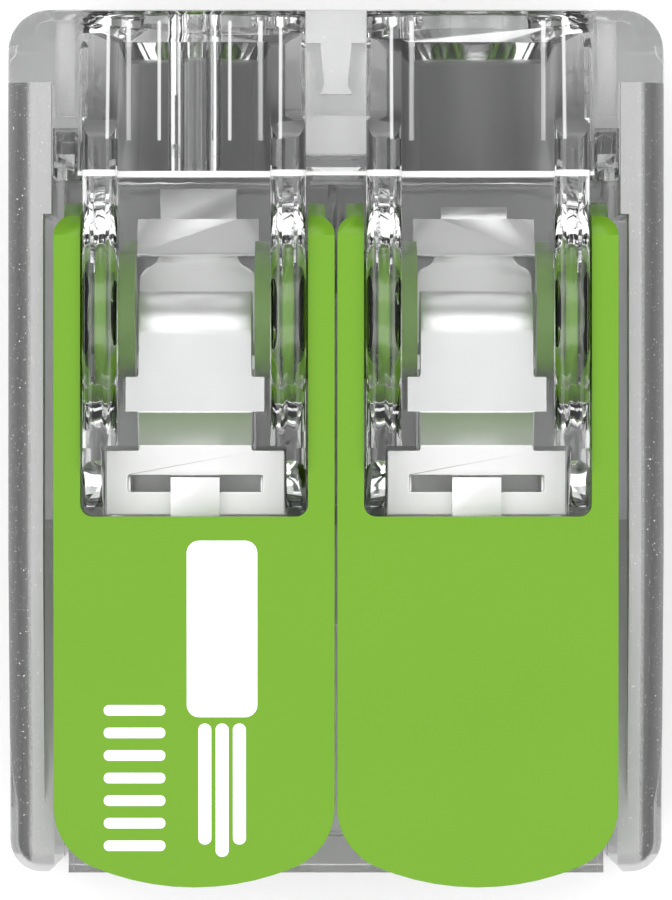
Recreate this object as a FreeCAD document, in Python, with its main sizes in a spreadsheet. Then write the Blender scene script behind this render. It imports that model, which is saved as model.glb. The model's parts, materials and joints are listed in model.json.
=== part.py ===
"""Two-pole lever wire connector: clear shell, clear insert, current bar, two springs, two levers.

Every body is drawn in the same way: x across, y back from the wire-entry face, z up from the base.
Bodies that belong to one pole are drawn about that pole's middle and moved out by half the pitch.
"""
import FreeCAD, Part
import Sketcher
import os
import re

doc = FreeCAD.newDocument("LeverConnector")

# Driving dimensions, in millimetres and degrees.
DIMENSIONS = {
    "housing_width": (16.0, "outside width of the shell"),
    "housing_length": (21.1, "front face to rear face"),
    "overall_length": (21.4, "front face to the tip of a closed lever"),
    "overall_height": (10.1, "base to the top of the hump rails"),
    "pole_pitch": (6.9, "distance between the two poles"),
    "side_wall": (1.07, "thickness of a side wall"),
    "wall_relief": (0.2, "recess of the wall beside a lever"),
    "relief_start": (5.0, "front end of that recess"),
    "post_start": (19.5, "front face of the rear corner posts"),
    "post_inside": (6.65, "half the width between the rear corner posts"),
    "wall_top": (9.3, "height of the side walls along the levers"),
    "slope_start": (13.4, "where the wall top starts to fall"),
    "slope_end": (19.4, "where the wall top is level again"),
    "rear_top": (7.8, "height of deck and side walls at the back"),
    "front_corner": (1.0, "radius of the upright front corners"),
    "rear_corner": (0.78, "radius of the upright rear corners"),
    "wall_round": (0.75, "radius along the outer top edge of the walls"),
    "roof_top": (8.8, "height of the front roof"),
    "roof_under": (8.2, "underside of the roof over the lever arms"),
    "roof_end": (4.05, "length of the front block"),
    "step_depth": (1.8, "where the side walls step up from the roof"),
    "arm_bay_start": (3.85, "front face of the bays that the arms swing into"),
    "arm_bay_floor": (4.0, "floor of those bays"),
    "entry_height": (3.9, "height of a wire entry's axis"),
    "entry_radius": (2.2, "radius of a wire entry"),
    "mouth_radius": (2.95, "radius of its funnel mouth"),
    "mouth_depth": (0.75, "depth of the straight part of the mouth"),
    "mouth_cone": (0.5, "cone between mouth and entry"),
    "mouth_round": (0.15, "rounding of the mouth's rim"),
    "port_height": (7.8, "height of the test port's axis"),
    "port_radius": (0.65, "radius of the test port"),
    "port_cone": (0.12, "lead-in of the test port"),
    "pivot_depth": (7.43, "lever axis, back from the front face"),
    "pivot_height": (6.9, "lever axis, up from the base"),
    "bearing_radius": (1.62, "bearing bore in rails and ribs"),
    "boss_radius": (1.57, "pivot boss of a lever"),
    "rail_inside": (1.85, "inner face of a hump rail"),
    "rail_outside": (2.72, "outer face of a hump rail"),
    "rail_slim": (2.25, "inner face of the slim rear end of a rail"),
    "rail_step": (10.65, "where a rail gets slim"),
    "rail_end": (12.6, "rear end of the rail's foot"),
    "hump_start": (0.75, "foot of the ramp in front of the hump"),
    "hump_crest": (3.2, "top of that ramp"),
    "hump_sweep": (4.8, "radius about the lever axis that the hump stays inside"),
    "pane_top": (9.0, "top of the clear pane between the rails"),
    "pane_thickness": (0.5, "thickness of that pane"),
    "deck_start": (12.45, "front edge of the deck under the lever caps"),
    "deck_end": (20.1, "rear edge of the deck"),
    "deck_thickness": (0.5, "thickness of the deck"),
    "hook_inside": (6.3, "inner side of a latch channel"),
    "hook_outside": (6.9, "outer side of a latch channel"),
    "hook_start": (2.9, "front of a latch channel"),
    "hook_end": (3.6, "back of a latch channel below the roof"),
    "hook_gap": (0.08, "clearance of the latch arm in its channel"),
    "latch_foot": (1.2, "height of the latch arm's foot"),
    "panel_depth": (0.1, "sunken panels on the roof"),
    "slot_near": (2.6, "relief slots beside a tunnel, off the pole's middle, from here"),
    "slot_far": (2.8, "to here"),
    "relief_slot_start": (1.0, "front of those slots"),
    "relief_slot_end": (3.2, "back of those slots"),
    "recess_half": (0.72, "half the width of the recess between the roofs"),
    "recess_start": (0.83, "front of that recess"),
    "recess_end": (2.6, "back of that recess"),
    "recess_depth": (0.4, "depth of that recess"),
    "web_front": (0.38, "half the width of the web in the recess, in front"),
    "web_waist": (0.29, "half its width at the waist"),
    "web_waist_at": (1.85, "where the waist is"),
    "web_foot": (0.4, "half the width of its foot"),
    "web_end": (2.07, "back of the web"),
    "groove_start": (3.64, "front of the cross groove behind the recess"),
    "groove_end": (3.82, "back of that groove"),
    "groove_depth": (0.25, "depth of that groove"),
    "rail_round": (0.3, "rounding of the hump rails' upper edges"),
    "line_near": (1.53, "long grooves on the roof, off the pole's middle, from here"),
    "line_far": (1.68, "to here"),
    "line_start": (0.8, "front of those grooves"),
    "line_end": (3.2, "back of those grooves"),
    "line_depth": (0.15, "depth of those grooves"),
    "lever_half": (3.42, "half the width of a lever"),
    "lever_top": (9.7, "height of the closed lever's cap"),
    "cap_thickness": (1.2, "thickness of the cap"),
    "skirt_bottom": (7.95, "lower edge of arms and skirts"),
    "arm_inside": (2.77, "inner face of a lever arm"),
    "arm_front": (5.04, "front end of a lever arm"),
    "arm_corner": (0.48, "rounding of the arm ends seen from above"),
    "arm_bevel": (0.5, "bevel on the arm ends seen from the side"),
    "window_end": (12.37, "rear edge of the lever's window"),
    "window_corner": (0.3, "corner radius of that window"),
    "tip_radius": (6.3, "rounding of the lever tip"),
    "tip_corner": (1.57, "corner radius of the lever tip"),
    "tip_drop": (0.5, "fall of the cap towards the tip"),
    "tip_lift": (0.5, "rise of the underside at the tip, for a fingernail"),
    "hollow_start": (13.1, "front end of the hollows under the cap"),
    "hollow_end": (19.3, "rear end of those hollows"),
    "rib_thickness": (0.5, "ribs between the hollows"),
    "rib_offset": (1.2, "ribs, off the middle"),
    "cheek_radius": (2.75, "round cheek at the foot of an arm"),
    "cheek_outside": (3.2, "outer face of a cheek"),
    "disc_radius": (2.7, "thin round disc of a lever inside each hump rail"),
    "disc_inside": (2.15, "inner face of that disc"),
    "disc_outside": (2.42, "outer face of that disc"),
    "disc_gap": (0.05, "clearance all round the disc"),
    "boss_inside": (1.46, "inner end of a pivot boss"),
    "finger_outside": (1.8, "outer face of the driving finger"),
    "finger_reach": (2.25, "driving finger, out from the axis"),
    "finger_lead": (224.5, "direction of its leading corner, degrees"),
    "finger_back": (215.2, "direction of its trailing corner, degrees"),
    "strip": (0.4, "thickness of the spring steel"),
    "coil_depth": (7.95, "axis of the spring's bend, back from the front face"),
    "coil_inside": (0.7, "inner radius of the spring's bend"),
    "spring_half": (1.4, "half the width of bend and clamp leg"),
    "shoulder_half": (1.72, "half the width of the top leg"),
    "shoulder_start": (8.95, "where the top leg widens"),
    "bend_start": (9.83, "where the top leg bends down"),
    "tail_start": (10.63, "where the tail is level again"),
    "tail_half": (2.2, "half the width of the tail"),
    "tail_end": (12.35, "rear end of the tail"),
    "tail_top": (7.35, "top of the tail"),
    "slot_half": (1.65, "half the width of the slot in the tail"),
    "slot_start": (11.38, "front of that slot"),
    "slot_end": (11.77, "back of that slot"),
    "split_angle": (205.0, "where the bend becomes the clamp leg, degrees"),
    "split_gap": (1.5, "opening between the two, degrees"),
    "clamp_lean": (50.0, "slope of the clamp leg below level, degrees"),
    "clamp_edge": (2.35, "height of the clamping edge"),
    "lug_start": (1.55, "driven lugs, from here along the clamp leg"),
    "lug_end": (2.1, "to here"),
    "lug_half": (1.78, "half the width across the lugs"),
    "bar_under": (1.5, "underside of the current bar"),
    "bar_top": (2.3, "top of the current bar"),
    "bar_half": (1.45, "half the width of a pole's plate"),
    "bar_neck_half": (0.97, "half the width of its neck"),
    "bar_neck_start": (5.8, "front of the neck"),
    "bar_neck_end": (6.5, "where the neck has its full width again"),
    "ramp_half": (1.525, "half the width of the lead-in ramp"),
    "ramp_start": (4.95, "front of that ramp"),
    "ramp_lip": (1.75, "height of its front edge"),
    "tongue_half": (0.83, "half the width of the front tongue"),
    "tongue_start": (4.65, "front of the tongue"),
    "probe_tongue_half": (0.95, "half the width of the longer tongue"),
    "probe_tongue_start": (4.2, "front of the longer tongue, under the test port"),
    "strap_start": (12.2, "front of the strap that joins the poles"),
    "strap_end": (15.0, "back of that strap"),
    "strap_half": (5.6, "half its length"),
    "leg_inside": (1.6, "inner face of an upright"),
    "leg_outside": (2.15, "outer face of an upright"),
    "leg_start": (11.3, "front of an upright"),
    "leg_end": (12.1, "back of an upright"),
    "bridge_start": (11.82, "front of the bridge between the uprights"),
    "bridge_under": (6.3, "underside of that bridge"),
    "tab_half": (0.6, "half the width of the hooked tab"),
    "tab_thickness": (0.31, "thickness of that tab"),
    "tab_top": (7.75, "top of the tab"),
    "floor_start": (4.15, "front edge of the insert's floor"),
    "floor_top": (1.45, "thickness of the insert's floor"),
    "floor_half": (6.83, "half the width of that floor"),
    "back_wall_start": (20.2, "inner face of the insert's back wall"),
    "back_wall_half": (6.55, "half the width of the back wall"),
    "divider_half": (0.2, "half the thickness of the divider between the poles"),
    "divider_low": (4.1, "height of the divider in front"),
    "divider_step": (6.9, "where the divider gets high"),
    "divider_top": (7.2, "height of the divider behind"),
    "rib_inside": (1.9, "inner face of a bearing rib"),
    "bearing_rib_outside": (2.7, "outer face of a bearing rib"),
    "bearing_rib_start": (5.3, "front of a bearing rib"),
    "bearing_rib_end": (9.6, "back of a bearing rib"),
    "bearing_rib_top": (6.87, "top of a bearing rib"),
}

sheet = doc.addObject("Spreadsheet::Sheet", "Dimensions")
for row, (alias, (size, meaning)) in enumerate(DIMENSIONS.items(), start=1):
    sheet.set(f"A{row}", alias)
    sheet.set(f"B{row}", str(size))
    sheet.set(f"C{row}", meaning)
    sheet.setAlias(f"B{row}", alias)
doc.recompute()


def bound(expression):
    """Point the dimension names in an expression at the sheet."""
    def name(match):
        word = match.group(0)
        return f"Dimensions.{word}" if word in DIMENSIONS else word
    return re.sub(r"[a-z_]+", name, str(expression))


def size_of(expression):
    """The present value of an expression over the dimension names."""
    return float(sheet.evalExpression(bound(expression).replace("Dimensions.", "")))


def new_body(label, across="0"):
    """A body whose own frame starts at the front face, moved sideways by across."""
    body = doc.addObject("PartDesign::Body", label)
    body.Label = label
    body.AllowCompound = True
    body.setExpression("Placement.Base.x", bound(across))
    body.setExpression("Placement.Base.y", bound("-overall_length / 2"))
    return body


def new_sketch(body, name, plane, level):
    """An empty sketch on one of the body's own origin planes, raised by level."""
    sketch = body.newObject("Sketcher::SketchObject", name)
    for feature in body.Origin.OriginFeatures:
        if feature.Role == plane:
            sketch.AttachmentSupport = [(feature, "")]
    sketch.MapMode = "FlatFace"
    sketch.setExpression("AttachmentOffset.Base.z", bound(level))
    return sketch


def arc_between(start, end, radius):
    """The short arc from start to end: anticlockwise for a positive radius."""
    chord = end - start
    middle = (start + end) * 0.5
    rise = max(radius * radius - chord.Length ** 2 / 4, 0.0) ** 0.5
    left = FreeCAD.Vector(-chord.y, chord.x, 0).normalize()
    centre = middle + left * (rise if radius > 0 else -rise)
    bulge = left * (-abs(radius) if radius > 0 else abs(radius))
    return Part.Arc(start, centre + bulge, end)


def draw_outline(sketch, corners):
    """A closed outline. A corner is (x, y), or (x, y, radius) where an arc arrives at it."""
    places = [FreeCAD.Vector(size_of(corner[0]), size_of(corner[1]), 0) for corner in corners]
    ends = []
    for index, corner in enumerate(corners):
        start = places[index - 1]
        end = places[index]
        if len(corner) == 2:
            edge = sketch.addGeometry(Part.LineSegment(start, end), False)
            ends.append((edge, 1, 2))
        else:
            radius = size_of(corner[2])
            edge = sketch.addGeometry(arc_between(start, end, radius), False)
            ends.append((edge, 1, 2) if radius > 0 else (edge, 2, 1))
            bind_constraint(sketch, f"radius_{index}", Sketcher.Constraint("Radius", edge, abs(radius)),
                            corner[2] if radius > 0 else f"-({corner[2]})")
    for index, corner in enumerate(corners):
        edge, _, last = ends[index]
        following, first, _ = ends[(index + 1) % len(ends)]
        sketch.addConstraint(Sketcher.Constraint("Coincident", edge, last, following, first))
        across = Sketcher.Constraint("DistanceX", -1, 1, edge, last, places[index].x)
        upward = Sketcher.Constraint("DistanceY", -1, 1, edge, last, places[index].y)
        bind_constraint(sketch, f"across_{index}", across, corner[0])
        bind_constraint(sketch, f"upward_{index}", upward, corner[1])


def draw_circle(sketch, across, upward, radius):
    """A circle about a centre given by its two expressions."""
    centre = FreeCAD.Vector(size_of(across), size_of(upward), 0)
    edge = sketch.addGeometry(Part.Circle(centre, FreeCAD.Vector(0, 0, 1), size_of(radius)), False)
    bind_constraint(sketch, "radius", Sketcher.Constraint("Radius", edge, size_of(radius)), radius)
    place = Sketcher.Constraint("DistanceX", -1, 1, edge, 3, centre.x)
    bind_constraint(sketch, "across", place, across)
    place = Sketcher.Constraint("DistanceY", -1, 1, edge, 3, centre.y)
    bind_constraint(sketch, "upward", place, upward)


def bind_constraint(sketch, name, constraint, expression):
    """Add a dimension to the sketch under a name and drive it from the sheet."""
    index = sketch.addConstraint(constraint)
    sketch.renameConstraint(index, name)
    sketch.setExpression(f"Constraints.{name}", bound(expression))


def extrude(body, name, plane, shape, low, high, cut=False):
    """Pad or pocket an outline or circle between two levels along the plane's axis."""
    level = f"-({high})" if plane == "XZ_Plane" else low
    sketch = new_sketch(body, name + "_sketch", plane, level)
    if isinstance(shape, tuple):
        draw_circle(sketch, *shape)
    else:
        draw_outline(sketch, shape)
    doc.recompute()
    before = 0.0 if body.Shape.isNull() else body.Shape.Volume
    feature = body.newObject("PartDesign::Pocket" if cut else "PartDesign::Pad", name)
    feature.Profile = sketch
    feature.setExpression("Length", bound(f"({high}) - ({low})"))
    feature.Reversed = cut
    doc.recompute()
    if (body.Shape.Volume - before) * (-1 if cut else 1) <= 1e-6:
        raise RuntimeError(f"{body.Label}: {name} changes nothing")


def extrude_pair(body, name, shape, inside, outside, cut=False):
    """The same side view on both sides of a pole's middle."""
    for side, low, high in (("a", f"-({outside})", f"-({inside})"), ("b", inside, outside)):
        extrude(body, f"{name}_{side}", "YZ_Plane", shape, low, high, cut)


def rectangle(left, right, low, high):
    """The corners of a rectangle, anticlockwise."""
    return [(left, low), (right, low), (right, high), (left, high)]


def round_edges(body, name, radius, wanted, kind="Fillet"):
    """Round or bevel the edges that wanted() picks."""
    base = body.Tip
    edges = [f"Edge{number}" for number, edge in enumerate(base.Shape.Edges, start=1) if wanted(edge)]
    if not edges:
        raise RuntimeError(f"{body.Label}: {name} found no edges")
    feature = body.newObject(f"PartDesign::{kind}", name)
    feature.Base = (base, edges)
    feature.setExpression("Radius" if kind == "Fillet" else "Size", bound(radius))
    doc.recompute()
    if "Invalid" in feature.State or feature.Shape.isNull():
        raise RuntimeError(f"{body.Label}: {name} failed")


def near(value, expression):
    """True where a measured value agrees with an expression."""
    return abs(value - size_of(expression)) < 1e-3


def disc_slots(body, name, pole):
    """The round slots that a lever's two discs turn in."""
    shape = ("pivot_depth", "pivot_height", "disc_radius + disc_gap")
    near_side = "(disc_inside - disc_gap)"
    far_side = "(disc_outside + disc_gap)"
    sides = (("a", f"{pole} - {far_side}", f"{pole} - {near_side}"),
             ("b", f"{pole} + {near_side}", f"{pole} + {far_side}"))
    for side, low, high in sides:
        extrude(body, f"disc_slot_{name}_{side}", "YZ_Plane", shape, low, high, cut=True)


def housing_shell():
    """The clear outer shell: walls, front block with the wire entries, roof, hump rails and deck."""
    body = new_body("housing_shell")
    half = "(housing_width / 2)"
    bay = "(housing_width / 2 - side_wall)"
    relief = "(housing_width / 2 - side_wall + wall_relief)"

    side_view = [("0", "0"), ("housing_length", "0"), ("housing_length", "rear_top"),
                 ("slope_end", "rear_top"), ("slope_start", "wall_top"), ("0", "wall_top")]
    extrude(body, "block", "YZ_Plane", side_view, f"-{half}", half)

    def upright_at(depth):
        def test(edge):
            box = edge.BoundBox
            return near(box.ZLength, box.ZMax) and near(box.YMin, depth) and near(box.YMax, depth) \
                and near(box.XLength, "0")
        return test

    round_edges(body, "front_corners", "front_corner", upright_at("0"))
    round_edges(body, "rear_corners", "rear_corner", upright_at("housing_length"))

    def wall_edge(edge):
        box = edge.BoundBox
        return near(abs(box.XMin), half) and near(box.XLength, "0") and box.ZMin > size_of("rear_top") - 1e-3

    round_edges(body, "wall_rounds", "wall_round", wall_edge)

    extrude(body, "front_step", "XY_Plane", rectangle(f"-{half} - 1", f"{half} + 1", "-1", "step_depth"),
            "roof_top", "wall_top + 1", cut=True)
    extrude(body, "roof_recess", "XY_Plane", rectangle(f"-{bay}", bay, "step_depth - 0.1", "roof_end + 0.1"),
            "roof_top", "wall_top + 1", cut=True)
    lever_bay = [(bay, "roof_end"), (bay, "relief_start"), (relief, "relief_start"), (relief, "post_start"),
                 ("post_inside", "post_start"), ("post_inside", "housing_length - 0.4"),
                 ("post_inside + 0.4", "housing_length"), ("post_inside + 0.4", "housing_length + 1")]
    lever_bay += [(f"-({across})", back) for across, back in reversed(lever_bay)]
    extrude(body, "lever_bay", "XY_Plane", lever_bay, "-1", "wall_top + 1", cut=True)
    arm_bays = (("left", f"-{bay}", "-pole_pitch / 2 - rail_outside"),
                ("middle", "-pole_pitch / 2 + rail_outside", "pole_pitch / 2 - rail_outside"),
                ("right", "pole_pitch / 2 + rail_outside", bay))
    for name, left, right in arm_bays:
        extrude(body, f"arm_bay_{name}", "XY_Plane",
                rectangle(left, right, "arm_bay_start", "roof_end + 0.1"),
                "arm_bay_floor", "roof_under", cut=True)

    rail_parts = (("inner", "-rail_outside", "-rail_inside", "front"),
                  ("outer", "rail_inside", "rail_outside", "front"),
                  ("inner", "-rail_outside", "-rail_slim", "rear"),
                  ("outer", "rail_slim", "rail_outside", "rear"))
    for name, pole in (("left", "-pole_pitch / 2"), ("right", "pole_pitch / 2")):
        extrude(body, f"entry_{name}", "XZ_Plane", (pole, "entry_height", "entry_radius"),
                "-1", "roof_end + 0.1", cut=True)
        extrude(body, f"mouth_{name}", "XZ_Plane", (pole, "entry_height", "mouth_radius"),
                "-1", "mouth_depth", cut=True)
        for part, inner, outer, ending in rail_parts:
            view = rail_front() if ending == "front" else rail_rear()
            extrude(body, f"rail_{name}_{part}_{ending}", "YZ_Plane", view,
                    f"{pole} + {inner}", f"{pole} + {outer}")
        pane = rectangle(f"{pole} - rail_inside - 0.1", f"{pole} + rail_inside + 0.1",
                         "roof_end - 0.1", "rail_step")
        extrude(body, f"pane_{name}", "XY_Plane", pane, "pane_top - pane_thickness", "pane_top")
        extrude(body, f"bearing_{name}", "YZ_Plane", ("pivot_depth", "pivot_height", "bearing_radius"),
                f"{pole} - rail_outside - 0.1", f"{pole} + rail_outside + 0.1", cut=True)
        for side, low, high in (("left", "-slot_far", "-slot_near"), ("right", "slot_near", "slot_far")):
            extrude(body, f"relief_{name}_{side}", "XY_Plane",
                    rectangle(f"{pole} + {low}", f"{pole} + {high}", "relief_slot_start", "relief_slot_end"),
                    "-1", "roof_under", cut=True)
        for side, low, high in (("left", "-line_far", "-line_near"), ("right", "line_near", "line_far")):
            extrude(body, f"line_{name}_{side}", "XY_Plane",
                    rectangle(f"{pole} + {low}", f"{pole} + {high}", "line_start", "line_end"),
                    "roof_top - line_depth", "roof_top + 1", cut=True)
        disc_slots(body, name, pole)
    extrude(body, "deck", "XY_Plane",
            rectangle(f"-{relief} - 0.1", f"{relief} + 0.1", "deck_start", "deck_end"),
            "rear_top - deck_thickness", "rear_top")
    extrude(body, "test_port", "XZ_Plane", ("pole_pitch / 2", "port_height", "port_radius"),
            "-1", "roof_end + 0.1", cut=True)

    half_recess = [("recess_half", "recess_start"), ("recess_half", "recess_end")]
    half_web = [("web_foot", "web_end"), ("web_waist", "web_waist_at"), ("web_front", "recess_start")]
    recess = half_recess + [(f"-{across}", back) for across, back in reversed(half_recess)]
    recess += [(f"-{across}", back) for across, back in reversed(half_web)] + half_web
    extrude(body, "recess", "XY_Plane", recess, "roof_top - recess_depth", "roof_top + 1", cut=True)
    extrude(body, "cross_groove", "XY_Plane",
            rectangle("-recess_half", "recess_half", "groove_start", "groove_end"),
            "roof_top - groove_depth", "roof_top + 1", cut=True)

    latches = (("left", "-hook_outside", "-hook_inside"), ("right", "hook_inside", "hook_outside"))
    for name, left, right in latches:
        behind = rectangle(left, right, "hook_end", "roof_end + 0.1")
        extrude(body, f"latch_channel_{name}", "XY_Plane",
                rectangle(left, right, "hook_start", "hook_end + 0.1"), "-1", "roof_top + 1", cut=True)
        extrude(body, f"latch_head_{name}", "XY_Plane", behind, "roof_under", "roof_top + 1", cut=True)
        extrude(body, f"latch_foot_{name}", "XY_Plane", behind, "-1", "floor_top", cut=True)
        extrude(body, f"roof_panel_{name}", "XY_Plane",
                rectangle(f"{left} + hook_gap", f"{right} - hook_gap", "0.3", "hook_start - 0.3"),
                "roof_top - panel_depth", "roof_top + 1", cut=True)

    def ring(radius, depth):
        def test(edge):
            box = edge.BoundBox
            return near(box.XLength, f"2 * {radius}") and near(box.YMin, depth) and near(box.YMax, depth)
        return test

    def crest_edge(edge):
        box = edge.BoundBox
        return near(box.ZMin, "overall_height") and near(box.XLength, "0") and near(box.YMin, "hump_crest")

    round_edges(body, "entry_cones", "mouth_cone", ring("entry_radius", "mouth_depth"), "Chamfer")
    round_edges(body, "mouth_rims", "mouth_round", ring("mouth_radius", "0"))
    round_edges(body, "port_cone_edge", "port_cone", ring("port_radius", "0"), "Chamfer")
    round_edges(body, "rail_rounds", "rail_round", crest_edge)
    return body


def rail_front():
    """Side view of a hump rail up to the point where it gets slim."""
    return [("hump_start", "roof_top - 0.3"), ("roof_end - 0.1", "roof_top - 0.3"),
            ("roof_end - 0.1", "pivot_height"), ("rail_step", "pivot_height"),
            ("rail_step", "overall_height"), ("hump_crest", "overall_height"), ("hump_start", "roof_top")]


def rail_rear():
    """Side view of the slim end: an arc about the lever axis, and a foot under the deck."""
    top_end = "pivot_depth + sqrt(hump_sweep ^ 2 - (overall_height - pivot_height) ^ 2)"
    deck_end = "pivot_depth + sqrt(hump_sweep ^ 2 - (rear_top - pivot_height) ^ 2)"
    return [("rail_step - 0.1", "pivot_height"), ("rail_end", "pivot_height"), ("rail_end", "rear_top"),
            (deck_end, "rear_top"), (top_end, "overall_height", "hump_sweep"),
            ("rail_step - 0.1", "overall_height")]


def housing_insert():
    """The clear insert: floor, back wall, divider, bearing ribs and the two latch arms."""
    body = new_body("housing_insert")
    extrude(body, "floor", "XY_Plane",
            rectangle("-floor_half", "floor_half", "floor_start", "post_start - 0.1"), "0", "floor_top")
    extrude(body, "floor_rear", "XY_Plane",
            rectangle("-back_wall_half", "back_wall_half", "post_start - 0.2", "housing_length"),
            "0", "floor_top")
    extrude(body, "back_wall", "XY_Plane",
            rectangle("-back_wall_half", "back_wall_half", "back_wall_start", "housing_length"),
            "0", "rear_top - 0.1")
    divider = [("floor_start", "0"), ("back_wall_start + 0.1", "0"),
               ("back_wall_start + 0.1", "divider_top"), ("divider_step", "divider_top"),
               ("divider_step", "divider_low"), ("floor_start", "divider_low")]
    extrude(body, "divider", "YZ_Plane", divider, "-divider_half", "divider_half")
    extrude(body, "strap_gap", "YZ_Plane",
            rectangle("strap_start - 0.1", "strap_end + 0.1", "floor_top", "bar_top + 0.1"),
            "-divider_half - 0.1", "divider_half + 0.1", cut=True)
    for name, pole in (("left", "-pole_pitch / 2"), ("right", "pole_pitch / 2")):
        rib = rectangle("bearing_rib_start", "bearing_rib_end", "floor_top - 0.1", "bearing_rib_top")
        extrude(body, f"rib_{name}_inner", "YZ_Plane", rib,
                f"{pole} - bearing_rib_outside", f"{pole} - rib_inside")
        extrude(body, f"rib_{name}_outer", "YZ_Plane", rib,
                f"{pole} + rib_inside", f"{pole} + bearing_rib_outside")
        extrude(body, f"bearing_{name}", "YZ_Plane", ("pivot_depth", "pivot_height", "bearing_radius"),
                f"{pole} - bearing_rib_outside - 0.1", f"{pole} + bearing_rib_outside + 0.1", cut=True)
        disc_slots(body, name, pole)
    for name, side in (("left", "-"), ("right", "")):
        inner = f"{side}(hook_inside + hook_gap)"
        outer = f"{side}(hook_outside - hook_gap)"
        low, high = (outer, inner) if side else (inner, outer)
        extrude(body, f"latch_foot_{name}", "XY_Plane",
                rectangle(low, high, "hook_start + hook_gap", "floor_start + 0.1"), "0", "latch_foot")
        extrude(body, f"latch_arm_{name}", "XY_Plane",
                rectangle(low, high, "hook_start + hook_gap", "hook_end - hook_gap"), "0", "roof_top - 0.1")
        head = [(inner, "hook_start + hook_gap"), (outer, "hook_start + 0.3"),
                (outer, "roof_end - 0.3"), (inner, "roof_end - hook_gap")]
        if side:
            head.reverse()
        extrude(body, f"latch_head_{name}", "XY_Plane", head, "roof_under + hook_gap", "roof_top")
    return body


def current_bar():
    """The tinned copper bar that joins both poles and carries the springs."""
    body = new_body("current_bar")
    extrude(body, "strap", "XY_Plane", rectangle("-strap_half", "strap_half", "strap_start", "strap_end"),
            "bar_under", "bar_top")
    for name, pole in (("left", "-pole_pitch / 2"), ("right", "pole_pitch / 2")):
        middle = "(bar_neck_start + bar_neck_end) / 2"
        shoulder = "(bar_neck_half + bar_half) / 2"
        curve = "((bar_neck_end - bar_neck_start) ^ 2 + (bar_half - bar_neck_half) ^ 2)" \
                " / (4 * (bar_half - bar_neck_half))"
        right = [(f"{pole} + bar_neck_half", "bar_neck_start"),
                 (f"{pole} + {shoulder}", middle, f"-{curve}"),
                 (f"{pole} + bar_half", "bar_neck_end", curve)]
        left = [(f"{pole} - bar_half", "bar_neck_end"),
                (f"{pole} - ({shoulder})", middle, curve),
                (f"{pole} - bar_neck_half", "bar_neck_start", f"-{curve}")]
        back = [(f"{pole} + bar_half", "strap_start + 0.1"), (f"{pole} - bar_half", "strap_start + 0.1")]
        extrude(body, f"plate_{name}", "XY_Plane", right + back + left, "bar_under", "bar_top")
        ramp = [("ramp_start", "bar_under"), ("bar_neck_start + 0.1", "bar_under"),
                ("bar_neck_start + 0.1", "bar_top"), ("bar_neck_start", "bar_top"),
                ("ramp_start", "ramp_lip")]
        extrude(body, f"ramp_{name}", "YZ_Plane", ramp, f"{pole} - ramp_half", f"{pole} + ramp_half")
        if name == "right":
            front, half = "probe_tongue_start", "probe_tongue_half"
        else:
            front, half = "tongue_start", "tongue_half"
        extrude(body, f"tongue_{name}", "XY_Plane",
                rectangle(f"{pole} - {half}", f"{pole} + {half}", front, "ramp_start + 0.1"),
                "bar_under", "ramp_lip")
        foot = rectangle(f"{pole} - leg_outside", f"{pole} + leg_outside",
                         "leg_start - 0.1", "strap_start + 0.1")
        extrude(body, f"upright_foot_{name}", "XY_Plane", foot, "bar_under", "bar_top")
        uprights = (("inner", "-leg_outside", "-leg_inside"), ("outer", "leg_inside", "leg_outside"))
        for side, low, high in uprights:
            extrude(body, f"upright_{name}_{side}", "XY_Plane",
                    rectangle(f"{pole} + {low}", f"{pole} + {high}", "leg_start", "leg_end"),
                    "bar_under", "pivot_height")
        extrude(body, f"bridge_{name}", "XY_Plane",
                rectangle(f"{pole} - leg_outside", f"{pole} + leg_outside", "bridge_start", "leg_end"),
                "bridge_under", "pivot_height")
        front = "(slot_start + 0.04)"
        extrude(body, f"tab_root_{name}", "XY_Plane",
                rectangle(f"{pole} - tab_half", f"{pole} + tab_half", front, "bridge_start + 0.1"),
                "bridge_under", "pivot_height")
        tab = [(front, "pivot_height - 0.1"), (f"{front} + tab_thickness", "pivot_height - 0.1"),
               (f"{front} + tab_thickness", "tab_top - tab_thickness"),
               ("window_end", "tab_top - tab_thickness"), ("window_end", "tab_top"), (front, "tab_top")]
        extrude(body, f"tab_{name}", "YZ_Plane", tab, f"{pole} - tab_half", f"{pole} + tab_half")
    return body


def around(radius, angle, axis="pivot_depth"):
    """A point of the side view, by its radius and direction about the lever axis or the bend's axis."""
    return f"{axis} + {radius} * cos({angle})", f"pivot_height + {radius} * sin({angle})"


def clamp_spring(label, pole):
    """The spring's fixed half: most of the bend, the top leg and the slotted tail."""
    body = new_body(label, pole)
    outside = "(coil_inside + strip)"
    end = "(split_angle - split_gap)"
    profile = [around(outside, end, "coil_depth"),
               around(outside, "90", "coil_depth") + (f"-{outside}",),
               ("bend_start", f"pivot_height + {outside}"), ("tail_start", "tail_top"),
               ("tail_end", "tail_top"), ("tail_end", "tail_top - strip"),
               ("tail_start - 0.15", "tail_top - strip"),
               ("bend_start - 0.15", "pivot_height + coil_inside"),
               ("coil_depth", "pivot_height + coil_inside"),
               around("coil_inside", end, "coil_depth") + ("coil_inside",)]
    extrude(body, "strip_profile", "YZ_Plane", profile, "-spring_half", "spring_half")
    shoulder = [("shoulder_start", "pivot_height + coil_inside"),
                ("bend_start - 0.15", "pivot_height + coil_inside"),
                ("bend_start", f"pivot_height + {outside}"), ("shoulder_start", f"pivot_height + {outside}")]
    extrude(body, "shoulder", "YZ_Plane", shoulder, "-shoulder_half", "shoulder_half")
    tail = rectangle("rail_step + 0.1", "tail_end", "tail_top - strip", "tail_top")
    extrude(body, "tail", "YZ_Plane", tail, "-tail_half", "tail_half")
    extrude(body, "slot", "XY_Plane", rectangle("-slot_half", "slot_half", "slot_start", "slot_end"),
            "tail_top - strip - 0.1", "tail_top + 0.1", cut=True)
    return body


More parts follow.
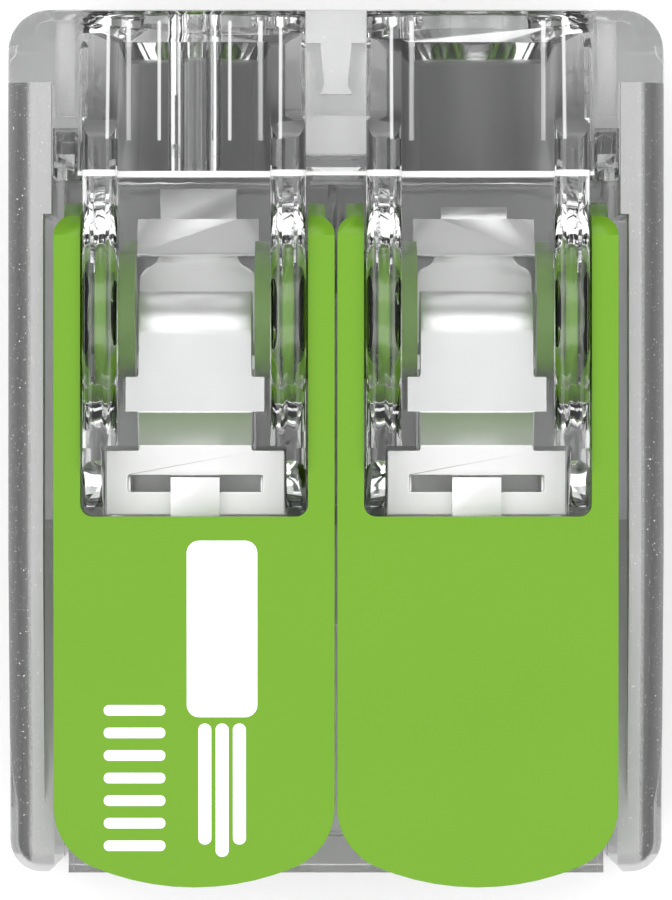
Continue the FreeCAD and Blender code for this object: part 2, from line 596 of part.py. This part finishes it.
def along_leg(offset, run):
    """A point of the clamp leg: offset out from the bend's axis, run along the leg."""
    return (f"coil_depth + {offset} * cos(270 - clamp_lean) + ({run}) * cos(clamp_lean)",
            f"pivot_height + {offset} * sin(270 - clamp_lean) - ({run}) * sin(clamp_lean)")


def clamp_leg(label, pole):
    """The spring's moving half: the end of the bend, the straight leg and its two driven lugs."""
    body = new_body(label, pole)
    outside = "(coil_inside + strip)"
    length = f"((pivot_height - clamp_edge + {outside} * sin(270 - clamp_lean)) / sin(clamp_lean))"
    profile = [around("coil_inside", "split_angle", "coil_depth"),
               along_leg("coil_inside", "0") + ("coil_inside",),
               along_leg("coil_inside", length), along_leg(outside, length), along_leg(outside, "0"),
               around(outside, "split_angle", "coil_depth") + (f"-{outside}",)]
    extrude(body, "strip_profile", "YZ_Plane", profile, "-spring_half", "spring_half")
    lug = [along_leg("coil_inside", "lug_start"), along_leg("coil_inside", "lug_end"),
           along_leg(outside, "lug_end"), along_leg(outside, "lug_start")]
    extrude(body, "lugs", "YZ_Plane", lug, "-lug_half", "lug_half")
    return body


def lever(label, pole):
    """A green lever: cap, arms, cheeks, pivot bosses, discs and the fingers that lift the clamp leg."""
    body = new_body(label, pole)
    centre = "(overall_length - tip_radius)"
    across = "(lever_half - tip_corner)"
    back = f"sqrt((tip_radius - tip_corner) ^ 2 - {across} ^ 2)"
    scale = "(tip_radius / (tip_radius - tip_corner))"
    plan = [("-lever_half + arm_corner", "arm_front", "arm_corner"),
            ("lever_half - arm_corner", "arm_front"),
            ("lever_half", "arm_front + arm_corner", "arm_corner"), ("lever_half", f"{centre} + {back}"),
            (f"{across} * {scale}", f"{centre} + {back} * {scale}", "tip_corner"),
            (f"-{across} * {scale}", f"{centre} + {back} * {scale}", "tip_radius"),
            ("-lever_half", f"{centre} + {back}", "tip_corner"), ("-lever_half", "arm_front + arm_corner")]
    extrude(body, "cap", "XY_Plane", plan, "skirt_bottom", "lever_top")
    window = [("-arm_inside", "arm_front - 1"), ("arm_inside", "arm_front - 1"),
              ("arm_inside", "window_end - window_corner"),
              ("arm_inside - window_corner", "window_end", "window_corner"),
              ("-arm_inside + window_corner", "window_end"),
              ("-arm_inside", "window_end - window_corner", "window_corner")]
    extrude(body, "window", "XY_Plane", window, "skirt_bottom - 1", "lever_top + 1", cut=True)
    slope = [("window_end + 0.6", "lever_top"), ("overall_length + 1", "lever_top - tip_drop"),
             ("overall_length + 1", "lever_top + 1"), ("window_end + 0.6", "lever_top + 1")]
    extrude(body, "cap_slope", "YZ_Plane", slope, "-lever_half - 1", "lever_half + 1", cut=True)
    bevel = [("arm_front - 1", "lever_top - arm_bevel - 1"), ("arm_front + arm_bevel + 1", "lever_top + 1"),
             ("arm_front - 1", "lever_top + 1")]
    extrude(body, "arm_bevels", "YZ_Plane", bevel, "-lever_half - 1", "lever_half + 1", cut=True)

    hollows = (("left", "-arm_inside", "-rib_offset - rib_thickness / 2"),
               ("middle", "-rib_offset + rib_thickness / 2", "rib_offset - rib_thickness / 2"),
               ("right", "rib_offset + rib_thickness / 2", "arm_inside"))
    for name, left, right in hollows:
        extrude(body, f"hollow_{name}", "XY_Plane", rectangle(left, right, "hollow_start", "hollow_end"),
                "skirt_bottom - 1", "lever_top - cap_thickness", cut=True)
    nail = [("hollow_end + 0.5", "skirt_bottom"), ("hollow_end + 0.5", "skirt_bottom - 1"),
            ("overall_length + 1", "skirt_bottom - 1"), ("overall_length + 1", "skirt_bottom + tip_lift")]
    extrude(body, "nail_lift", "YZ_Plane", nail, "-lever_half - 1", "lever_half + 1", cut=True)
    extrude_pair(body, "cheek", ("pivot_depth", "pivot_height", "cheek_radius"),
                 "arm_inside", "cheek_outside")
    extrude_pair(body, "boss", ("pivot_depth", "pivot_height", "boss_radius"),
                 "boss_inside", "arm_inside + 0.1")
    extrude_pair(body, "disc", ("pivot_depth", "pivot_height", "disc_radius"),
                 "disc_inside", "disc_outside")
    finger = [around("(boss_radius - 0.18)", "200.7"), around("(boss_radius - 0.07)", "176"),
              around("finger_reach", "finger_back"), around("finger_reach", "finger_lead")]
    extrude_pair(body, "finger", finger, "boss_inside", "finger_outside")
    return body


housing_shell()
housing_insert()
current_bar()
for side_name, pole_place in (("left", "-pole_pitch / 2"), ("right", "pole_pitch / 2")):
    clamp_spring(f"spring_{side_name}", pole_place)
    clamp_leg(f"clamp_leg_{side_name}", pole_place)
    lever(f"lever_{side_name}", pole_place)

doc.recompute()
for item in doc.Objects:
    if {"Invalid", "Error"} & set(item.State):
        raise RuntimeError(f"{item.Label} failed: {item.State}")

os.makedirs("parts", exist_ok=True)
for body in doc.Objects:
    if body.TypeId != "PartDesign::Body":
        continue
    if body.Shape.isNull() or not body.Shape.isValid():
        raise RuntimeError(f"{body.Label} has no valid shape")
    box = body.Shape.BoundBox
    print(f"{body.Label}: {len(body.Shape.Solids)} solid, {body.Shape.Volume:.2f} mm3, "
          f"x {box.XMin:.2f}..{box.XMax:.2f}  y {box.YMin:.2f}..{box.YMax:.2f}  "
          f"z {box.ZMin:.2f}..{box.ZMax:.2f}")
    body.Shape.exportStep(f"parts/{body.Label}.step")
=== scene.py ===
import json
import math

import bmesh
import bpy
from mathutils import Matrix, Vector
from mathutils.bvhtree import BVHTree


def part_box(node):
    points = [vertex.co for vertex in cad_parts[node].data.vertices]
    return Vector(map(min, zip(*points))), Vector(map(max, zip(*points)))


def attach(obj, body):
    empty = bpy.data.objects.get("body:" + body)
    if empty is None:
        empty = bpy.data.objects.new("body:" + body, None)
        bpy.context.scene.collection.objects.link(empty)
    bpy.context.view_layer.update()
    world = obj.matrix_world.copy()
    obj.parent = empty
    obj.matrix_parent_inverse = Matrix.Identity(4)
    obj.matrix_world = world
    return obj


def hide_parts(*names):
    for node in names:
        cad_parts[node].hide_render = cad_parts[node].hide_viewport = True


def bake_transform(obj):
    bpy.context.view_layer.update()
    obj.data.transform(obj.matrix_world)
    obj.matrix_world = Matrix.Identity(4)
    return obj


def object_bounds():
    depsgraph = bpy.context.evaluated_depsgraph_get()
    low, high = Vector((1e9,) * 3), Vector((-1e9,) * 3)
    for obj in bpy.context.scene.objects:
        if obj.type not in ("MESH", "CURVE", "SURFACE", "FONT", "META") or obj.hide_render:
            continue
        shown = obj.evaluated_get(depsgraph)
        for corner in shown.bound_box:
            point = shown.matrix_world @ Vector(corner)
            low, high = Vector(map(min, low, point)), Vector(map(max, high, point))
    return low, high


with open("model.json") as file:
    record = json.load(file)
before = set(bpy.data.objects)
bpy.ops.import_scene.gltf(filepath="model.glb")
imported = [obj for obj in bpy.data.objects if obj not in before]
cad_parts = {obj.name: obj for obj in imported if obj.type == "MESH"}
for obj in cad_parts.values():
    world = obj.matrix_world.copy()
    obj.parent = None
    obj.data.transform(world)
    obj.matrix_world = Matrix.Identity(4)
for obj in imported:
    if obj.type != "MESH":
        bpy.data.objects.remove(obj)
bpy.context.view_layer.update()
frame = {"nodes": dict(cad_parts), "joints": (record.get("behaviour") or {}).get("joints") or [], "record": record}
nodes = frame["nodes"]
record = frame["record"]
MM = 0.001

# ---------------------------------------------------------------- shader helpers


def feed(tree, socket, value):
    """Link a socket, or set it where value is a plain number or colour."""
    if isinstance(value, bpy.types.NodeSocket):
        tree.links.new(value, socket)
    else:
        socket.default_value = value


def calc(tree, operation, first, second=0.0):
    node = tree.nodes.new("ShaderNodeMath")
    node.operation = operation
    feed(tree, node.inputs[0], first)
    feed(tree, node.inputs[1], second)
    return node.outputs[0]


def mix(tree, factor, first, second):
    node = tree.nodes.new("ShaderNodeMix")
    node.data_type = "FLOAT"
    feed(tree, node.inputs[0], factor)
    feed(tree, node.inputs[2], first)
    feed(tree, node.inputs[3], second)
    return node.outputs[0]


def mix_colour(tree, factor, first, second):
    node = tree.nodes.new("ShaderNodeMix")
    node.data_type = "RGBA"
    feed(tree, node.inputs[0], factor)
    for socket, colour in ((node.inputs[6], first), (node.inputs[7], second)):
        feed(tree, socket, colour if isinstance(colour, bpy.types.NodeSocket) else (*colour, 1.0))
    return node.outputs[2]


def place(tree, stretch=(1, 1, 1)):
    """The point on the surface, in millimetres of the part's own frame."""
    coords = tree.nodes.new("ShaderNodeTexCoord")
    scale = tree.nodes.new("ShaderNodeVectorMath")
    scale.operation = "MULTIPLY"
    tree.links.new(coords.outputs["Object"], scale.inputs[0])
    scale.inputs[1].default_value = [factor / MM for factor in stretch]
    return scale.outputs[0]


def noise(tree, point, scale, detail=2.0, roughness=0.5):
    node = tree.nodes.new("ShaderNodeTexNoise")
    tree.links.new(point, node.inputs["Vector"])
    node.inputs["Scale"].default_value = scale
    node.inputs["Detail"].default_value = detail
    node.inputs["Roughness"].default_value = roughness
    return node.outputs["Fac"]


def bump(tree, surface, height, strength, distance):
    node = tree.nodes.new("ShaderNodeBump")
    node.inputs["Strength"].default_value = strength
    node.inputs["Distance"].default_value = distance
    tree.links.new(height, node.inputs["Height"])
    tree.links.new(node.outputs["Normal"], surface.inputs["Normal"])


def new_material(name):
    material = bpy.data.materials.new(name)
    material.use_nodes = True
    return material, material.node_tree, material.node_tree.nodes["Principled BSDF"]


def step(tree, value, low, high):
    """0 below low and 1 above high, smooth between."""
    node = tree.nodes.new("ShaderNodeMapRange")
    node.interpolation_type = "SMOOTHSTEP"
    feed(tree, node.inputs["Value"], value)
    node.inputs["From Min"].default_value = low
    node.inputs["From Max"].default_value = high
    return node.outputs["Result"]


def outside_of(tree, value):
    return calc(tree, "SUBTRACT", 1.0, value)


def over(tree, value, limit, soft=0.02):
    """1 where value is over the limit, with a soft edge."""
    return step(tree, value, limit - soft, limit + soft)


def under(tree, value, limit, soft=0.02):
    return outside_of(tree, over(tree, value, limit, soft))


def between(tree, value, low, high, soft=0.02):
    return calc(tree, "SUBTRACT", over(tree, value, low, soft), over(tree, value, high, soft))


def all_of(tree, first, *others):
    for other in others:
        first = calc(tree, "MULTIPLY", first, other)
    return first


def any_of(tree, first, *others):
    for other in others:
        first = calc(tree, "MAXIMUM", first, other)
    return first


# ---------------------------------------------------------------- materials

PLASTIC_IOR = 1.585
PLASTIC_TINT = (0.97, 0.975, 0.975)

# Marks on the shell, in millimetres. Along the shell they are counted back from its front face.
WALL_STEP = 1.8
PANEL_FRONT = 0.28
PANEL_BACK = 2.62
# Painted reflection: the middle web is made milky white up to this depth.
WEB_BACK = 3.55
# Painted highlights: the white roof lines end this far back, and the cross line lies along the roof's rear edge.
LINES_BACK = 3.2
CROSS_LINE = (3.95, 4.1)
# Painted shade: the tunnel walls from here back are made dark grey.
TUNNEL_FRONT = 1.15
TAIL_LENGTH = 0.45                           # forward from the back face

# Across the shell
PANEL_WIDTH = 0.46                           # in from the latch arm's side
WEB_HALF = 0.74                              # off the shell's middle
POLE_LINES = ((1.55, 1.66), (2.06, 2.14))    # off a pole's middle
PORT_LINE = (0.82, 0.9)                      # off the test port's middle
TUNNEL_SKIN = 0.085                          # outwards from the bore's radius

# How far down from the shell's top each mark reaches
PANEL_DROP = 1.55
ROOF_DROP = 1.65
CROSS_DROP = 1.75
WEB_DROP = 1.95
WALL_DROP = 2.55
TAIL_DROP = 3.1

# Painted highlights: the long roof lines are this share white.
FAINT = 0.6                                  # the share of white in the long lines on the roof


def mounts_named(start):
    return [mount for mount in record["mounts"] if mount["name"].startswith(start)]


def shell_masks(tree, point):
    """Where the shell is etched grey, pale frosted, white along its moulded edges as painted highlights, or a
    tunnel wall painted dark as painted shade; the pale middle web is a painted reflection.
    """
    axes = tree.nodes.new("ShaderNodeSeparateXYZ")
    tree.links.new(point, axes.inputs[0])
    low, high = (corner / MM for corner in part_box("housing_shell"))
    lever_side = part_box("lever_right")[1].x / MM
    latch_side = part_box("housing_insert")[1].x / MM
    entry = mounts_named("wire_entry")[0]
    across = calc(tree, "ABSOLUTE", axes.outputs[0])
    off_pole = calc(tree, "ABSOLUTE", calc(tree, "SUBTRACT", across, abs(entry["pos_m"][0]) / MM))
    depth = calc(tree, "SUBTRACT", axes.outputs[1], low.y)
    drop = calc(tree, "SUBTRACT", high.z, axes.outputs[2])

    on_wall = all_of(tree, under(tree, drop, WALL_DROP, 0.05), over(tree, depth, WALL_STEP))
    wall_middle = (lever_side + high.x) / 2
    etched = all_of(tree, over(tree, across, wall_middle + 0.01, 0.11), on_wall)
    bands = all_of(tree, between(tree, across, lever_side + 0.03, wall_middle), on_wall)
    panels = all_of(tree, between(tree, across, latch_side - PANEL_WIDTH, latch_side, 0.01),
                    between(tree, depth, PANEL_FRONT, PANEL_BACK), under(tree, drop, PANEL_DROP, 0.05))
    # Painted reflection: the middle web is made milky white; the tail at the back is made milky too.
    web = all_of(tree, under(tree, across, WEB_HALF), under(tree, drop, WEB_DROP, 0.05),
                 under(tree, depth, WEB_BACK, 0.05))
    tail = all_of(tree, over(tree, depth, high.y - low.y - TAIL_LENGTH, 0.05),
                  under(tree, drop, TAIL_DROP, 0.1))

    on_roof = all_of(tree, under(tree, drop, ROOF_DROP, 0.05),
                     between(tree, depth, PANEL_FRONT, LINES_BACK))
    # Painted highlights: white lines along the roof's moulded edges, across its rear edge and beside the test
    # ports.
    highlight_lines = all_of(tree, between(tree, depth, *CROSS_LINE), under(tree, drop, CROSS_DROP, 0.05),
                   under(tree, across, latch_side - 0.475, 0.025))
    for near, far in POLE_LINES:
        highlight_lines = any_of(tree, highlight_lines, all_of(tree, between(tree, off_pole, near, far), on_roof, FAINT))
    for port in mounts_named("test_port"):
        beside = calc(tree, "ABSOLUTE", calc(tree, "SUBTRACT", axes.outputs[0], port["pos_m"][0] / MM))
        highlight_lines = any_of(tree, highlight_lines, all_of(tree, between(tree, beside, *PORT_LINE), on_roof, FAINT))

    # Painted shade: the bore's wall is made dark grey and mostly solid, standing in for the shade inside the
    # tunnel.
    rise = calc(tree, "SUBTRACT", axes.outputs[2], entry["pos_m"][2] / MM)
    square = calc(tree, "ADD", all_of(tree, off_pole, off_pole), all_of(tree, rise, rise))
    reach = calc(tree, "SQRT", square)
    tunnel = all_of(tree, under(tree, reach, entry["dims"]["r_mm"] + TUNNEL_SKIN, 0.035),
                    over(tree, depth, TUNNEL_FRONT, 0.15))
    return etched, any_of(tree, bands, panels), any_of(tree, web, tail), highlight_lines, tunnel


def clear_plastic(name):
    """Polished clear plastic with faint flow marks."""
    material, tree, surface = new_material(name)
    smear = noise(tree, place(tree), 0.9, 3.0, 0.6)
    surface.inputs["IOR"].default_value = PLASTIC_IOR
    surface.inputs["Base Color"].default_value = (*PLASTIC_TINT, 1.0)
    surface.inputs["Transmission Weight"].default_value = 1.0
    feed(tree, surface.inputs["Roughness"], mix(tree, smear, 0.0, 0.04))
    bump(tree, surface, smear, 0.1, 0.03 * MM)
    return material


def frosted_plastic(name):
    """The same plastic with frosted bands, dust specks, painted highlights as white lines along moulded edges, a
    painted reflection on the middle web and painted shade on the dark tunnel walls.
    """
    material, tree, surface = new_material(name)
    point = place(tree)
    surface.inputs["IOR"].default_value = PLASTIC_IOR
    smear = noise(tree, point, 0.9, 3.0, 0.6)
    grain = noise(tree, point, 9.0, 4.0, 0.7)
    etched, bands, pale, highlight_lines, tunnel = shell_masks(tree, point)
    frosted = any_of(tree, etched, bands, pale)
    specks = all_of(tree, over(tree, noise(tree, point, 24.0, 0.0), 0.79), frosted)
    no_specks = outside_of(tree, specks)

    # Painted shade: the tunnel walls are made dark grey.
    tone = mix_colour(tree, tunnel, PLASTIC_TINT, (0.16, 0.16, 0.16))
    tone = mix_colour(tree, all_of(tree, etched, no_specks), tone, (0.11, 0.11, 0.11))
    tone = mix_colour(tree, all_of(tree, bands, no_specks), tone, (0.6, 0.6, 0.6))
    # Painted highlight: the lines are made near-white.
    tone = mix_colour(tree, highlight_lines, tone, (0.97, 0.97, 0.97))
    feed(tree, surface.inputs["Base Color"], tone)

    # The tunnel's painted shade is made mostly solid.
    solid = all_of(tree, tunnel, 0.75)
    # The painted highlight lines are made mostly solid here.
    for mask, share in ((bands, 0.4), (pale, 0.35), (etched, 0.5), (highlight_lines, 0.9), (specks, 1.0)):
        solid = any_of(tree, solid, all_of(tree, mask, share))
    feed(tree, surface.inputs["Transmission Weight"], outside_of(tree, solid))

    polished = mix(tree, smear, 0.0, 0.04)
    frosting = mix(tree, grain, 0.25, 0.5)
    feed(tree, surface.inputs["Roughness"], mix(tree, any_of(tree, frosted, tunnel), polished, frosting))
    bump(tree, surface, mix(tree, frosted, all_of(tree, smear, 0.25), grain), 0.35, 0.03 * MM)
    return material


def metal(name, colour, stretch, rough_low, rough_high):
    """Bright rolled metal with fine streaks along one direction and faint blotches."""
    material, tree, surface = new_material(name)
    streaks = noise(tree, place(tree, stretch), 3.0, 4.0, 0.65)
    blotches = noise(tree, place(tree), 1.3, 2.0)
    surface.inputs["Metallic"].default_value = 1.0
    dark = tuple(c * 0.93 for c in colour)
    feed(tree, surface.inputs["Base Color"], mix_colour(tree, blotches, dark, colour))
    feed(tree, surface.inputs["Roughness"], mix(tree, streaks, rough_low, rough_high))
    bump(tree, surface, streaks, 0.2, 0.01 * MM)
    return material


def lever_plastic(name, colour):
    """Satin moulded plastic with a fine skin and slight clouds of colour."""
    material, tree, surface = new_material(name)
    point = place(tree)
    clouds = noise(tree, point, 0.35, 2.0)
    skin = noise(tree, point, 14.0, 3.0, 0.6)
    darker = tuple(c * 0.95 for c in colour)
    feed(tree, surface.inputs["Base Color"], mix_colour(tree, clouds, darker, colour))
    feed(tree, surface.inputs["Roughness"], mix(tree, skin, 0.3, 0.42))
    surface.inputs["Specular IOR Level"].default_value = 0.4
    bump(tree, surface, skin, 0.12, 0.006 * MM)
    return material


def print_ink(name):
    material, tree, surface = new_material(name)
    grain = noise(tree, place(tree), 22.0, 2.0)
    feed(tree, surface.inputs["Base Color"], mix_colour(tree, grain, (0.86, 0.86, 0.86), (0.95, 0.95, 0.95)))
    feed(tree, surface.inputs["Roughness"], mix(tree, grain, 0.45, 0.6))
    return material


shell_plastic = frosted_plastic("HousingPlastic")
insert_plastic = clear_plastic("InsertPlastic")
tin = metal("TinPlate", (0.96, 0.96, 0.96), (0.4, 3.0, 1.0), 0.26, 0.38)
steel = metal("SpringSteel", (0.95, 0.95, 0.95), (4.0, 0.4, 1.0), 0.34, 0.46)
green = lever_plastic("LeverPlastic", (0.137, 0.322, 0.0085))
ink = print_ink("PrintInk")

# ---------------------------------------------------------------- CAD nodes with softened edges


WELD_WITHIN = 0.002 * MM


def weigh_normals(piece):
    """Shade flat faces flat and rounds smooth."""
    normals = piece.modifiers.new("Normals", "WEIGHTED_NORMAL")
    normals.weight = 100
    return normals


def soften(piece, material, width, segments):
    """Paint a CAD node and round its sharp edges."""
    piece.data.materials.clear()
    piece.data.materials.append(material)
    weld = piece.modifiers.new("Weld", "WELD")
    weld.merge_threshold = WELD_WITHIN
    edges = piece.modifiers.new("Edges", "BEVEL")
    edges.width = width
    edges.segments = segments
    edges.limit_method = "ANGLE"
    edges.angle_limit = math.radians(35)
    edges.harden_normals = False
    edges.miter_outer = "MITER_ARC"
    weigh_normals(piece).keep_sharp = False


soften(nodes["housing_shell"], shell_plastic, 0.08 * MM, segments=3)
soften(nodes["housing_insert"], insert_plastic, 0.07 * MM, segments=3)
soften(nodes["current_bar"], tin, 0.05 * MM, segments=2)

# ---------------------------------------------------------------- rounded levers

CAP_ROUND = 0.2 * MM
SMALL_ROUND = 0.03 * MM
SPRING_ROUND = 0.035 * MM


def welded(node):
    """The node's mesh with its doubled vertices merged and its flat faces whole."""
    shape = bmesh.new()
    shape.from_mesh(nodes[node].data)
    bmesh.ops.remove_doubles(shape, verts=shape.verts, dist=WELD_WITHIN)
    bmesh.ops.dissolve_limit(shape, angle_limit=math.radians(0.5), verts=shape.verts, edges=shape.edges)
    return shape


def sharp_edges(shape, degrees):
    return [edge for edge in shape.edges
            if len(edge.link_faces) == 2 and edge.calc_face_angle() > math.radians(degrees)]


def round_over(shape, edges, width, segments):
    bmesh.ops.bevel(shape, geom=edges, offset=width, segments=segments, profile=0.5, affect="EDGES",
                    clamp_overlap=True, miter_outer="ARC")


def finished(shape, name, material):
    """Turn the bmesh into a smooth-shaded object."""
    bmesh.ops.recalc_face_normals(shape, faces=shape.faces)
    mesh = bpy.data.meshes.new(name)
    shape.to_mesh(mesh)
    shape.free()
    mesh.materials.append(material)
    for face in mesh.polygons:
        face.use_smooth = True
    piece = bpy.data.objects.new(name, mesh)
    bpy.context.scene.collection.objects.link(piece)
    weigh_normals(piece)
    return piece


def rounded_lever(side):
    """The lever with a soft round along the outside of its cap and small rounds elsewhere."""
    shape = welded(f"lever_{side}")
    low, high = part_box(f"lever_{side}")
    middle = (low + high) / 2
    window_half = (high.x - low.x) * 0.42
    near_tip = (high.y - middle.y) * 0.7

    def outside_top(edge):
        up = [face for face in edge.link_faces if face.normal.z > 0.6]
        upright = [face for face in edge.link_faces if abs(face.normal.z) < 0.3]
        if not up or not upright:
            return False
        point = (edge.verts[0].co + edge.verts[1].co) / 2 - middle
        faces_tip = upright[0].normal.y * point.y > 0 and point.y > near_tip
        return abs(point.x) > window_half or faces_tip

    round_over(shape, [edge for edge in sharp_edges(shape, 40) if outside_top(edge)], CAP_ROUND, 4)
    round_over(shape, sharp_edges(shape, 50), SMALL_ROUND, 1)
    piece = finished(shape, f"lever_{side}_rounded", green)
    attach(piece, f"lever_{side}")
    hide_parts(f"lever_{side}")


for side in ("left", "right"):
    rounded_lever(side)

# ---------------------------------------------------------------- one-piece springs

BEND_REACH = 1.2 * MM                        # the faces beside the cut are nearer to the bend's axis


def joint_named(name):
    return next(joint for joint in frame["joints"] if joint["name"] == name)


def open_end(shape, pivot, towards):
    """Remove the flat faces that cross the bend beside the cut, and return their border."""
    ends = []
    for face in shape.faces:
        arm = face.calc_center_median() - pivot
        arm.x = 0
        along = Vector((0, -arm.z, arm.y)).normalized() * towards
        beside_cut = arm.length <= BEND_REACH and arm.z < 0.2 * MM and arm.y < 0
        if beside_cut and face.normal.dot(along) > 0.97:
            ends.append(face)
    border = [edge for edge in {e for face in ends for e in face.edges}
              if sum(face in ends for face in edge.link_faces) == 1]
    places = [tuple(vert.co.copy() for vert in edge.verts) for edge in border]
    bmesh.ops.delete(shape, geom=ends, context="FACES")
    return places


def one_piece_spring(side):
    """The fixed half and the clamp leg as one strip, joined across the cut beside the bend's axis."""
    pivot = Vector(joint_named(f"clamp_{side}_bend")["pos_m"])
    whole = bmesh.new()
    border = []
    for node, towards in ((f"spring_{side}", 1), (f"clamp_leg_{side}", -1)):
        half = welded(node)
        border += open_end(half, pivot, towards)
        mesh = bpy.data.meshes.new(node + "_half")
        half.to_mesh(mesh)
        whole.from_mesh(mesh)
        bpy.data.meshes.remove(mesh)
        half.free()
    whole.edges.ensure_lookup_table()

    def on_border(edge):
        return any(all(min((vert.co - end).length for end in ends) < WELD_WITHIN for vert in edge.verts)
                   for ends in border)

    loops = [edge for edge in whole.edges if edge.is_boundary and on_border(edge)]
    bmesh.ops.bridge_loops(whole, edges=loops)
    round_over(whole, sharp_edges(whole, 35), SPRING_ROUND, 2)
    piece = finished(whole, f"clamp_spring_{side}", steel)
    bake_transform(piece)
    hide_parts(f"spring_{side}", f"clamp_leg_{side}")


for side in ("left", "right"):
    one_piece_spring(side)

# ---------------------------------------------------------------- white print on one cap

INK_THICKNESS = 0.012 * MM
SLEEVE_HALF = 0.86 * MM
SLEEVE_LENGTH = 4.3 * MM
STRAND_PITCH = 0.42 * MM
STRAND_HALF = 0.16 * MM
STRAND_END = 7.7 * MM                        # of the middle strand, back from the sleeve's front
DASH_HALF = 0.75 * MM
DASH_THICKNESS = 0.26 * MM
DASH_PITCH = 0.55 * MM
DASH_CORNER = 0.12 * MM
DASHES = 7


def rounded_bar(left, right, front, back, corner, steps=6):
    """The outline of a bar with round corners, seen from above."""
    outline = []
    for x, y, start in ((right - corner, back - corner, 0), (left + corner, back - corner, 90),
                        (left + corner, front + corner, 180), (right - corner, front + corner, 270)):
        for turn in range(steps + 1):
            angle = math.radians(start + 90 * turn / steps)
            outline.append((x + corner * math.cos(angle), y + corner * math.sin(angle)))
    return outline


def printed(name, body, outlines):
    """Thin plates of ink that lie on the lever's cap."""
    surface = BVHTree.FromPolygons([v.co for v in nodes[body].data.vertices],
                                   [face.vertices for face in nodes[body].data.polygons])
    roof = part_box(body)[1].z + MM
    points, faces = [], []
    for outline in outlines:
        count = len(outline)
        first = len(points)
        for lift in (INK_THICKNESS * 0.2, INK_THICKNESS):
            for x, y in outline:
                top = surface.ray_cast(Vector((x, y, roof)), Vector((0, 0, -1)))[0]
                points.append((x, y, top.z + lift))
        faces.append([first + count + k for k in range(count)])
        faces.append([first + k for k in reversed(range(count))])
        for k in range(count):
            following = (k + 1) % count
            faces.append([first + k, first + following, first + count + following, first + count + k])
    mesh = bpy.data.meshes.new(name)
    mesh.from_pydata(points, [], faces)
    mesh.materials.append(ink)
    piece = bpy.data.objects.new(name, mesh)
    bpy.context.scene.collection.objects.link(piece)
    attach(piece, body)


cap_low, cap_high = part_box("lever_right")
cap_middle = (cap_low.x + cap_high.x) / 2
sleeve = cap_middle - 0.68 * MM
sleeve_front = cap_high.y - 8.45 * MM
wire = [rounded_bar(sleeve - SLEEVE_HALF, sleeve + SLEEVE_HALF,
                    sleeve_front, sleeve_front + SLEEVE_LENGTH, 0.3 * MM)]
for strand in (-1, 0, 1):
    across = sleeve + strand * STRAND_PITCH
    wire.append(rounded_bar(across - STRAND_HALF, across + STRAND_HALF,
                            sleeve_front + SLEEVE_LENGTH + 0.15 * MM,
                            sleeve_front + STRAND_END - 0.3 * MM * abs(strand), 0.15 * MM))
printed("printed_wire", "lever_right", wire)

scale = cap_middle + 1.45 * MM
scale_front = sleeve_front + 4.0 * MM
dashes = []
for mark in range(DASHES):
    front = scale_front + mark * DASH_PITCH
    dashes.append(rounded_bar(scale - DASH_HALF, scale + DASH_HALF,
                              front, front + DASH_THICKNESS, DASH_CORNER))
printed("printed_scale", "lever_right", dashes)

# ---------------------------------------------------------------- floor

low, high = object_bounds()
centre = (low + high) / 2
FLOOR_REACH = 10.0

floor_mesh = bpy.data.meshes.new("Floor")
ground = low.z - 0.02 * MM
floor_mesh.from_pydata([(-FLOOR_REACH, -FLOOR_REACH, ground), (FLOOR_REACH, -FLOOR_REACH, ground),
                        (FLOOR_REACH, FLOOR_REACH, ground), (-FLOOR_REACH, FLOOR_REACH, ground)],
                       [], [(0, 1, 2, 3)])
floor = bpy.data.objects.new("Floor", floor_mesh)
bpy.context.scene.collection.objects.link(floor)
floor_material, _, floor_surface = new_material("FloorPaper")
floor_surface.inputs["Base Color"].default_value = (0.97, 0.97, 0.97, 1.0)
floor_surface.inputs["Roughness"].default_value = 0.9
floor_surface.inputs["Specular IOR Level"].default_value = 0.0
floor_mesh.materials.append(floor_material)

# ---------------------------------------------------------------- light: a pale sky with a brighter ring

world = bpy.data.worlds.new("Studio")
bpy.context.scene.world = world
world.use_nodes = True
sky = world.node_tree
direction = sky.nodes.new("ShaderNodeTexCoord")
axes = sky.nodes.new("ShaderNodeSeparateXYZ")
sky.links.new(direction.outputs["Generated"], axes.inputs[0])
up = axes.outputs[2]
ring = all_of(sky, step(sky, up, 0.5, 0.66), outside_of(sky, step(sky, up, 0.9, 0.97)))
sides = mix(sky, step(sky, axes.outputs[0], -0.7, 0.7), 0.85, 1.15)
glow = all_of(sky, ring, sides, 1.6)
fill = mix(sky, step(sky, up, 0.1, 0.95), 0.22, 0.85)
seen = sky.nodes.new("ShaderNodeLightPath").outputs["Is Camera Ray"]
background = sky.nodes["Background"]
background.inputs["Color"].default_value = (1.0, 1.0, 1.0, 1.0)
sky.links.new(mix(sky, seen, calc(sky, "ADD", glow, fill), 1.0), background.inputs["Strength"])

# ---------------------------------------------------------------- camera: straight down, wire entries upward

CAMERA_HEIGHT = 0.25
SHOWN_OVER_LENGTH = 1.0265                   # height of the picture over the object's length

camera_data = bpy.data.cameras.new("Camera")
camera = bpy.data.objects.new("Camera", camera_data)
bpy.context.scene.collection.objects.link(camera)
shown_length = SHOWN_OVER_LENGTH * (high.y - low.y)
camera_data.sensor_width = 36
camera_data.lens = camera_data.sensor_width * (CAMERA_HEIGHT - 0.85 * high.z) / shown_length
camera_data.clip_start = 0.01
camera_data.clip_end = 50
camera.location = (centre.x, centre.y + 0.05 * MM, CAMERA_HEIGHT)
camera.rotation_euler = (0, 0, math.pi)
bpy.context.scene.camera = camera
bpy.context.scene.view_settings.view_transform = "Standard"
